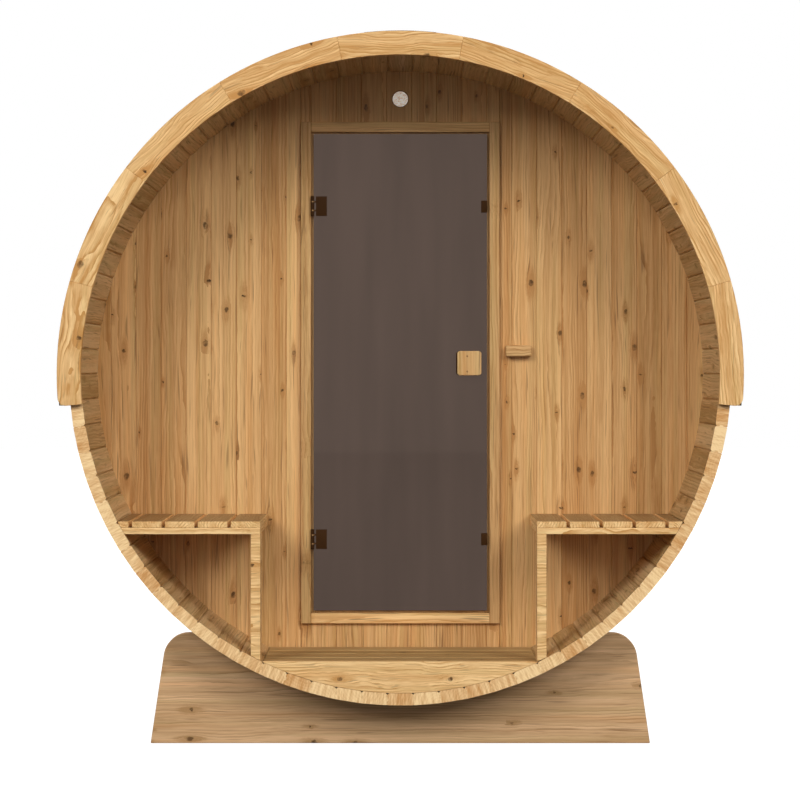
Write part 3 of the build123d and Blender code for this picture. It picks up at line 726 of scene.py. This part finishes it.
class SAUNA_OT_fascias(bpy.types.Operator):
    """Fits the arched fascia boards, the floor's front board and the eaves trims"""

    bl_idname = "sauna.fascias"
    bl_label = "Fascias"

    def execute(self, context):
        timber = context.scene.sauna_timber
        material = timber_material(
            "planed_spruce_fascia", timber.fascia_light, timber.fascia_dark, 0.55, flame=0.45
        )
        arches = {"fascia_front": 127, "fascia_back": 22}
        trims = {"eaves_trim_left": 23, "eaves_trim_right": 24, "floor_front_board": 25}
        dress_timber(arches, material, "arch", 0.0012)
        dress_timber(trims, material, "longest", timber.board_bevel)
        return {"FINISHED"}


class SAUNA_OT_walls(bpy.types.Operator):
    """Boards both end walls, round the doorway and the vent"""

    bl_idname = "sauna.walls"
    bl_label = "End walls"

    def execute(self, context):
        timber = context.scene.sauna_timber
        material = timber_material(
            "planed_spruce_panelling", timber.wall_light, timber.wall_dark, 0.50, figure=0.84
        )
        low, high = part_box("front_wall_left")
        side_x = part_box("front_wall_right")[0].x
        over_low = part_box("front_wall_over_door")[0]
        door_x, head = over_low.x, over_low.z - AXIS_HEIGHT
        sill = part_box("front_wall_under_door")[1].z - AXIS_HEIGHT
        edge = WALL_RADIUS - 0.004
        spans = (
            (-edge, -side_x, None, None),
            (side_x, edge, None, None),
            (door_x, -door_x, None, sill),
        )
        names = ("front_wall_left", "front_wall_right", "front_wall_under_door")
        mesh = self.boarding(spans, low.y, high.y)
        self.finish_wall(mesh, "front_wall_boards", material, names, 31)
        mesh = self.boarding(((door_x, -door_x, head, None),), low.y, high.y)
        mesh = self.cut_for_vent(mesh, low.y, high.y)
        self.finish_wall(mesh, "over_door_boards", material, ("front_wall_over_door",), 32)
        low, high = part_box("back_wall")
        mesh = self.boarding(((-edge, edge, None, None),), low.y, high.y)
        self.finish_wall(mesh, "back_wall_boards", material, ("back_wall",), 33)
        return {"FINISHED"}

    def boarding(self, spans, y_front, y_back):
        """Upright boards side by side on the wall's joints, over spans of x. Each span goes from a
        level up to another, or to the round of the wall where there is None."""
        timber = bpy.context.scene.sauna_timber
        mesh = bmesh.new()
        for x_low, x_high, floor, ceiling in spans:
            joints = []
            x = timber.wall_joint
            while x > x_low:
                x -= timber.wall_pitch
            while x < x_high:
                if x > x_low:
                    joints.append(x)
                x += timber.wall_pitch
            edges = [x_low, *joints, x_high]
            for left, right in zip(edges, edges[1:]):
                if right - left <= SLIVER:
                    continue
                sides = (left + GAP / 2, right - GAP / 2)
                rounds = [sqrt(max(WALL_RADIUS**2 - x**2, 0.0)) for x in sides]
                bottoms = [-reach if floor is None else floor for reach in rounds]
                tops = [reach if ceiling is None else ceiling for reach in rounds]
                if min(tops[0] - bottoms[0], tops[1] - bottoms[1]) >= SLIVER:
                    corners = zip((*sides, *sides[::-1]), (*bottoms, *tops[::-1]))
                    outline = [(x, level + AXIS_HEIGHT) for x, level in corners]
                    add_prism(mesh, outline, y_front, y_back)
        upright = [
            e for e in mesh.edges if (e.verts[0].co.xy - e.verts[1].co.xy).length < 1e-6
        ]
        bevel_edges(mesh, upright, timber.wall_bevel)
        face_outwards(mesh)
        return mesh

    def finish_wall(self, mesh, name, material, node_names, seed):
        lay_grain(mesh, "Z", seed, 1.1)
        finish_piece(mesh, name, material, node_names, "sauna")

    def cut_for_vent(self, mesh, y_front, y_back):
        """Cuts the vent's hole and its wider rim through the boards over the door."""
        low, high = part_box("vent")
        centre = (low + high) / 2
        hole, rim, rim_depth, clear = high.x - centre.x + GAP, 0.032, 0.014, 0.01
        for radius, end in ((hole, y_back + clear), (rim, y_front + rim_depth)):
            cutter = bmesh.new()
            outline = [
                (centre.x + radius * cos(t), centre.z + radius * sin(t)) for t in circle(64)
            ]
            add_prism(cutter, outline, y_front - clear, end)
            mesh = self.cut(mesh, cutter)
        return mesh

    def cut(self, mesh, cutter):
        """Cuts one mesh out of another, and gives the mesh that is left."""
        blanks = []
        for name, part in (("wall_blank", mesh), ("vent_cutter", cutter)):
            face_outwards(part)
            data = bpy.data.meshes.new(name)
            part.to_mesh(data)
            part.free()
            blanks.append(bpy.data.objects.new(name, data))
            bpy.context.collection.objects.link(blanks[-1])
        wall = blanks[0]
        cut = wall.modifiers.new("vent_cut", "BOOLEAN")
        cut.operation = "DIFFERENCE"
        cut.solver = "EXACT"
        cut.object = blanks[1]
        graph = bpy.context.evaluated_depsgraph_get()
        graph.update()
        left = bmesh.new()
        left.from_mesh(wall.evaluated_get(graph).to_mesh())
        for blank in blanks:
            data = blank.data
            bpy.data.objects.remove(blank)
            bpy.data.meshes.remove(data)
        return left


class SAUNA_OT_door_frame(bpy.types.Operator):
    """Dresses the door's jambs, head, sill and stops and the block beside it"""

    bl_idname = "sauna.door_frame"
    bl_label = "Door frame"

    def execute(self, context):
        timber = context.scene.sauna_timber
        wall = (timber.wall_light, timber.wall_dark)
        # The frame's wood is 0.86 as bright as the wall's. The head keeps the wall's own colours:
        # painted light, lifting it out of the canopy's shade
        darker = [scaled(colour, 0.86) for colour in wall]
        pale = (timber.fascia_light, timber.fascia_dark)
        frame_wood = timber_material("planed_spruce_frame", *darker, 0.30)
        head_wood_painted_light = timber_material("planed_spruce_head_painted_light", *wall, 0.30)
        # Painted light: the sill takes the fascia's paler colours, as though more light came up
        # from the floor
        sill_wood_painted_light = timber_material("planed_spruce_sill_painted_light", *pale, 0.10)
        curly = timber_material("curly_spruce_block", *darker, 0.0, flame=0.6)
        bevel = timber.board_bevel
        for seeds, wood in (
            ({"door_jamb_left": 441, "door_jamb_right": 442}, frame_wood),
            ({"door_head": 443}, head_wood_painted_light),
            ({"door_stops": 444}, frame_wood),
            ({"door_sill": 446}, sill_wood_painted_light),
        ):
            dress_timber(seeds, wood, "longest", bevel, tone_spread=0.5)
        dress_timber({"wall_block": 47}, curly, "X", 0.006, 4, tone_spread=0.3)
        return {"FINISHED"}


class SAUNA_OT_door(bpy.types.Operator):
    """Dresses the glass, hinges, catch plates and handles"""

    bl_idname = "sauna.door"
    bl_label = "Glass door"

    def execute(self, context):
        timber = context.scene.sauna_timber
        finish_node("door_glass", smoked_glass_material())
        colour = context.scene.sauna_door.bronze
        bronze = coated_metal_material("bronze_coated_steel", colour, 0.42)
        for name, body in (
            ("hinge_leaves", "sauna"),
            ("hinge_clamps", "door"),
            ("door_catch_plates", "door"),
            ("door_handle_plates", "door"),
        ):
            mesh = softened(name, 0.0005, 2)
            finish_piece(mesh, "coated_" + name, bronze, [name], body, True)
        colours = [scaled(c, 0.8) for c in (timber.fascia_light, timber.fascia_dark)]
        wood = timber_material("planed_spruce_handle", *colours, 0.0)
        handles = {"door_handle_outer": 51, "door_handle_inner": 52}
        dress_timber(handles, wood, "Z", 0.003, 3, 0.3, "door")
        return {"FINISHED"}


class SAUNA_OT_door_trim(bpy.types.Operator):
    """Fits the brass straps on the hinges' arms and the screws of the handle"""

    bl_idname = "sauna.door_trim"
    bl_label = "Door straps and screws"

    def execute(self, context):
        mesh = bmesh.new()
        self.add_straps(mesh)
        face_outwards(mesh)
        brass = brushed_brass_material(context.scene.sauna_door.brass)
        finish_piece(mesh, "hinge_straps", brass, [], "door")

        # A countersunk head with a hole in it: places above the wood, and radii
        profile = (
            (-0.002, 0.0030), (0.0, 0.0032), (0.0004, 0.0029), (0.0004, 0.0014), (-0.0010, 0.0012)
        )
        face_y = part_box("door_handle_outer")[0].y
        mesh = bmesh.new()
        for x, level in ((0.245, 0.0655), (0.245, 0.0096)):
            head = Vector((x, face_y, AXIS_HEIGHT + level))
            add_turned(mesh, head, Vector((0, -1, 0)), profile, 24)
        face_outwards(mesh)
        steel = coated_metal_material("browned_screw_steel", linear("#7A5535"), 0.45)
        finish_piece(mesh, "handle_screws", steel, [], "door")
        return {"FINISHED"}

    def add_straps(self, mesh):
        """A strap bent round the knuckle's front at each arm of the clamps."""
        pin_x, pin_y = DOOR_PIN[:2]
        inner_radius, outer_radius = 0.0065, 0.0070
        turns = [radians(-15 + 9 * k) for k in range(11)]
        inner, outer = (
            [(pin_x + radius * sin(t), pin_y - radius * cos(t)) for t in turns]
            for radius in (inner_radius, outer_radius)
        )
        end_x = pin_x + 0.0099
        end = [(end_x, pin_y + 0.0026), (end_x, pin_y + 0.0031)]
        outline = outer + end + inner[::-1]
        # The clamps are 71.5 mm high, and each has an arm 16 mm above and below its middle
        low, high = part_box("hinge_clamps")
        half_clamp, half_spread, half_strap = 0.03575, 0.016, 0.0023
        for middle in (low.z + half_clamp, high.z - half_clamp):
            for level in (middle - half_spread, middle + half_spread):
                add_prism(mesh, outline, level - half_strap, level + half_strap, "Z")


class SAUNA_OT_floors_and_benches(bpy.types.Operator):
    """Dresses the floors, the benches and the cradles"""

    bl_idname = "sauna.floors_and_benches"
    bl_label = "Floors, benches and cradles"

    def execute(self, context):
        timber = context.scene.sauna_timber
        bevel = timber.board_bevel
        # Painted shade: the floor's colours are darker, and its faces that look up darker again by
        # a share of 0.35
        boards = timber_material(
            "spruce_boards_painted_shade", timber.floor_light, timber.floor_dark, 0.30, 0.6, painted_top_shade=0.35
        )
        floors = {"porch_floor_boards": 61, "room_floor_boards": 62, "floor_bearers": 63}
        dress_timber(floors, boards, "longest", bevel)
        pale = (timber.fascia_light, timber.fascia_dark)
        # Painted shade: the bench's faces that look up are darkened to 0.4 of their colour
        bench = timber_material("planed_spruce_bench_painted_shade", *pale, 0.25, flame=0.5, painted_top_shade=1.0)
        seats = {"bench_slats_left": 71, "bench_slats_right": 72}
        seats |= {"bench_rails_left": 73, "bench_rails_right": 74}
        dress_timber(seats, bench, "longest", bevel, tone_spread=0.6)
        dress_timber({"bench_posts": 76}, bench, "X", bevel, tone_spread=0.4)
        plank = timber_material(
            "weathered_spruce_cradle", timber.cradle_light, timber.cradle_dark, 0.22, 0.7, 0.8
        )
        cradles = {"cradle_front": 81, "cradle_back": 82}
        dress_timber(cradles, plank, "X", 0.002, tone_spread=0.2)
        return {"FINISHED"}


class SAUNA_OT_roof(bpy.types.Operator):
    """Lays the roof boards and the overlapping shingles"""

    bl_idname = "sauna.roof"
    bl_label = "Roof"

    def execute(self, context):
        timber = context.scene.sauna_timber
        boards = timber_material(
            "planed_spruce_roof", timber.stave_light, timber.stave_dark, 0.30, 0.7
        )
        dress_timber({"roof_boards": 91}, boards, "length", 0.0008)
        deck = bpy.data.objects["timber_roof_boards"].data
        reach = max(hypot(v.co.x, v.co.z - AXIS_HEIGHT) for v in deck.vertices)
        finish_node("roof_battens", sawn_timber_material())
        mesh = bmesh.new()
        mesh.verts.layers.float.new("tone")
        self.lay_shingles(mesh, context.scene.sauna_roofing, reach + 0.0010)
        face_outwards(mesh)
        material = shingle_material()
        finish_piece(mesh, "shingle_courses", material, ["roof_shingles"], "sauna")
        return {"FINISHED"}

    def bent_sheet(self, mesh, tone, ends, angles, steps, radius, thickness, lift=0.0, tilt=0.0):
        """A sheet bent round the barrel's axis between two angles and two places along it. It may
        stand off by a lift at its first angle, and by a tilt at its first end."""
        tone_layer = mesh.verts.layers.float["tone"]
        rows = []
        for step in range(steps + 1):
            share = step / steps
            angle = angles[0] + (angles[1] - angles[0]) * share
            reach = radius + lift * (1 - share)
            row = []
            for y, more in zip(ends, (tilt, 0.0)):
                for out in (reach + more, reach + more + thickness):
                    vert = mesh.verts.new((out * sin(angle), y, AXIS_HEIGHT + out * cos(angle)))
                    vert[tone_layer] = tone
                    row.append(vert)
            rows.append(row)
        for one, two in zip(rows, rows[1:]):
            for a, b in ((0, 1), (1, 3), (3, 2), (2, 0)):
                mesh.faces.new((one[a], one[b], two[b], two[a]))
        for row, order in ((rows[0], (0, 2, 3, 1)), (rows[-1], (0, 1, 3, 2))):
            mesh.faces.new([row[k] for k in order])

    def lay_shingles(self, mesh, roofing, base):
        """Lays felt and shingles at a distance from the barrel's axis."""
        chance = random.Random(95)
        low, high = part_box("roof_shingles")
        eaves_angle = pi / 2 + atan2(AXIS_HEIGHT - low.z, high.x)
        exposure = eaves_angle / roofing.shingle_courses
        thickness = roofing.shingle_thickness
        tab_width = (high.y - low.y) / roofing.shingle_tabs
        # The slots between tabs are 6 mm wide, and a course laps 18 % over the next. No tab
        # reaches the ridge itself, and none is narrower than 10 mm
        half_slot, lap, ridge_angle, narrowest = 0.003, 1.18, 0.012, 0.01
        # A sheet of felt lies under the shingles and shows in the slots between them
        angles = (-eaves_angle, eaves_angle)
        self.bent_sheet(mesh, 0.0, (low.y, high.y), angles, 240, base - 0.0008, 0.0006)
        for side in (1, -1):
            for course in range(roofing.shingle_courses):
                butt = eaves_angle - course * exposure
                angles = (side * butt, side * max(butt - lap * exposure, ridge_angle))
                lift = thickness + 0.0002 if course else 0.0
                edges = [low.y]
                start = low.y + (tab_width / 2 if course % 2 else tab_width)
                while start < high.y - narrowest:
                    edges.append(start)
                    start += tab_width
                edges.append(high.y)
                for y_from, y_to in zip(edges, edges[1:]):
                    first = y_from + (half_slot if y_from > low.y else 0.0)
                    last = y_to - (half_slot if y_to < high.y else 0.0)
                    tone = chance.random()
                    self.bent_sheet(mesh, tone, (first, last), angles, 4, base, thickness, lift)
        # Caps across the ridge, 0.25 m wide, each lapping the one behind it
        step = (high.y - low.y) / roofing.ridge_caps
        angles = (-0.125 / base, 0.125 / base)
        radius = base + thickness + 0.0004
        for cap in range(roofing.ridge_caps):
            y_from = low.y + cap * step
            ends = (y_from, min(y_from + step * 1.15, high.y))
            tone = chance.random()
            self.bent_sheet(mesh, tone, ends, angles, 6, radius, thickness, tilt=thickness)


class SAUNA_OT_hoops(bpy.types.Operator):
    """Dresses the steel hoops and fits the threaded rods between their lugs"""

    bl_idname = "sauna.hoops"
    bl_label = "Hoops"

    def execute(self, context):
        steel = strap_material()
        finish_node("hoops", steel)
        low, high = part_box("hoops")
        half_strap = 0.020
        lug_angle = radians(-18.0)
        # The rod runs 14 mm out from the strap, which is 1.3 mm thick
        centre_radius = OUTER_RADIUS / cos(STAVE_PITCH / 2) + 0.0013 + 0.014
        radial = Vector((cos(lug_angle), 0, sin(lug_angle)))
        tangent = Vector((-sin(lug_angle), 0, cos(lug_angle)))
        reach = context.scene.sauna_roofing.rod_diameter / 2
        # The thread is a ring every 1.5 mm, as on a 10 mm rod
        pitch, half_rod = 0.0015, 0.046
        ribs = int(4 * half_rod / pitch)
        thread = [
            (-half_rod + k * pitch / 2, reach * (0.88 if k % 2 else 1.0)) for k in range(ribs + 1)
        ]
        # A washer and a nut outside each lug, whose outer faces are 22 mm from the middle
        washer = ((0.0221, 0.0105), (0.0237, 0.0105))
        nut = ((0.0238, 0.0086), (0.0244, 0.0098), (0.0314, 0.0098), (0.0320, 0.0086))
        mesh = bmesh.new()
        for y in (low.y + half_strap, high.y - half_strap):
            centre = radial * centre_radius + Vector((0, y, AXIS_HEIGHT))
            add_turned(mesh, centre, tangent, thread, 24)
            for way in (tangent, -tangent):
                add_turned(mesh, centre, way, washer, 24)
                add_turned(mesh, centre, way, nut, 6)
        face_outwards(mesh)
        finish_piece(mesh, "hoop_rods", steel, [], "sauna")
        return {"FINISHED"}


class SAUNA_OT_vent(bpy.types.Operator):
    """Dresses the round vent over the door"""

    bl_idname = "sauna.vent"
    bl_label = "Vent"

    def execute(self, context):
        mesh = softened("vent", 0.001, 2)
        for face in mesh.faces:
            face.material_index = 0 if face.normal.y < -0.5 else 1
        # The vent's front glows by painted light of strength 0.44, though no lamp is behind it
        front = vent_material("moulded_plastic_front_painted_glow", 0.44)
        piece = finish_piece(mesh, "moulded_vent", front, ["vent"], "sauna", True)
        piece.data.materials.append(vent_material("moulded_plastic", 0.0))
        return {"FINISHED"}


class SAUNA_OT_stage(bpy.types.Operator):
    """Sets the floor, the lights and the camera"""

    bl_idname = "sauna.stage"
    bl_label = "Stage"

    def execute(self, context):
        stage = context.scene.sauna_stage
        bpy.ops.mesh.primitive_plane_add(size=60.0, location=(0, 0, 0))
        floor = context.object
        floor.name = "studio_floor"
        floor.data.materials.append(floor_material())
        context.scene.world = self.studio(stage.sky_strength)

        # Two far soft boxes in front light the porch evenly, a weaker one stands higher and a
        # weak low one reaches the boards over the door. Two more light the back.
        for name, side, height, share in (
            ("front_left", -35, 27, 0.94),
            ("front_right", 35, 27, 0.94),
            ("front_high", 0, 45, 0.26),
            ("front_low", 0, 13, 0.14),
            ("back_left", -140, 32, 0.85),
            ("back_right", 140, 32, 0.85),
        ):
            self.lamp(name, radians(side), radians(height), stage.key_power * share)

        data = bpy.data.cameras.new("camera")
        data.sensor_width = 36.0
        data.lens = 105.12
        # The photograph's vanishing point is 0.3 px right of its middle and 29 px above it
        data.shift_x = -0.3 / 800
        data.shift_y = -29.0 / 800
        camera = bpy.data.objects.new("camera", data)
        camera.location = (0.0, -stage.camera_distance, stage.camera_height)
        camera.rotation_euler = (pi / 2, 0, 0)
        context.collection.objects.link(camera)
        context.scene.camera = camera
        context.scene.view_settings.view_transform = "Standard"
        return {"FINISHED"}

    def studio(self, strength):
        """A world that lights evenly, and that the camera and the glass see as white."""
        world = bpy.data.worlds.new("studio")
        world.use_nodes = True
        tree = world.node_tree
        tree.nodes.clear()
        path = add_node(tree, "LightPath").outputs
        seen = path["Is Camera Ray"]
        for ray in ("Is Glossy Ray", "Is Transmission Ray"):
            seen = add_node(tree, "Math", {0: seen, 1: path[ray]}, operation="MAXIMUM")
        even = add_node(tree, "Background", {"Color": WHITE, "Strength": strength})
        white = add_node(tree, "Background", {"Color": WHITE, "Strength": 1.0})
        mix = add_node(tree, "MixShader", {0: seen, 1: even, 2: white})
        add_node(tree, "OutputWorld", {"Surface": mix})
        return world

    def lamp(self, name, side, height, power):
        """A far soft box, at an angle round from the front and one above the ground."""
        distance = 25.0
        middle = Vector((0.0, -0.8, 1.2))
        level = cos(height)
        way = Vector((level * sin(side), -level * cos(side), sin(height)))
        data = bpy.data.lights.new(name, "AREA")
        data.shape = "SQUARE"
        data.size = 9.8
        data.energy = power
        light = bpy.data.objects.new(name, data)
        light.location = middle + distance * way
        light.rotation_euler = (-way).to_track_quat("-Z", "Y").to_euler()
        # The glass mirrors the white studio and not a lamp
        light.visible_glossy = False
        bpy.context.collection.objects.link(light)


class SAUNA_PT_panel(bpy.types.Panel):
    """Lists the sauna's settings and its steps"""

    bl_label = "Barrel Sauna"
    bl_idname = "SAUNA_PT_panel"
    bl_space_type = "VIEW_3D"
    bl_region_type = "UI"
    bl_category = "Sauna"

    def draw(self, context):
        for step in STEPS:
            self.layout.operator(step.bl_idname)
        for group in GROUPS.values():
            settings = getattr(context.scene, group)
            for name in settings.__annotations__:
                self.layout.prop(settings, name)


STEPS = (
    SAUNA_OT_staves,
    SAUNA_OT_fascias,
    SAUNA_OT_walls,
    SAUNA_OT_door_frame,
    SAUNA_OT_door,
    SAUNA_OT_door_trim,
    SAUNA_OT_floors_and_benches,
    SAUNA_OT_roof,
    SAUNA_OT_hoops,
    SAUNA_OT_vent,
    SAUNA_OT_stage,
)
GROUPS = {
    SaunaTimber: "sauna_timber",
    SaunaRoofing: "sauna_roofing",
    SaunaDoor: "sauna_door",
    SaunaStage: "sauna_stage",
}


def register():
    for group, name in GROUPS.items():
        bpy.utils.register_class(group)
        setattr(bpy.types.Scene, name, bpy.props.PointerProperty(type=group))
    for step in (*STEPS, SAUNA_PT_panel):
        bpy.utils.register_class(step)


def unregister():
    for step in (SAUNA_PT_panel, *reversed(STEPS)):
        bpy.utils.unregister_class(step)
    for group, name in GROUPS.items():
        delattr(bpy.types.Scene, name)
        bpy.utils.unregister_class(group)


def main():
    register()
    bpy.ops.sauna.staves()
    bpy.ops.sauna.fascias()
    bpy.ops.sauna.walls()
    bpy.ops.sauna.door_frame()
    bpy.ops.sauna.door()
    bpy.ops.sauna.door_trim()
    bpy.ops.sauna.floors_and_benches()
    bpy.ops.sauna.roof()
    bpy.ops.sauna.hoops()
    bpy.ops.sauna.vent()
    bpy.ops.sauna.stage()


if __name__ == "__main__":
    main()
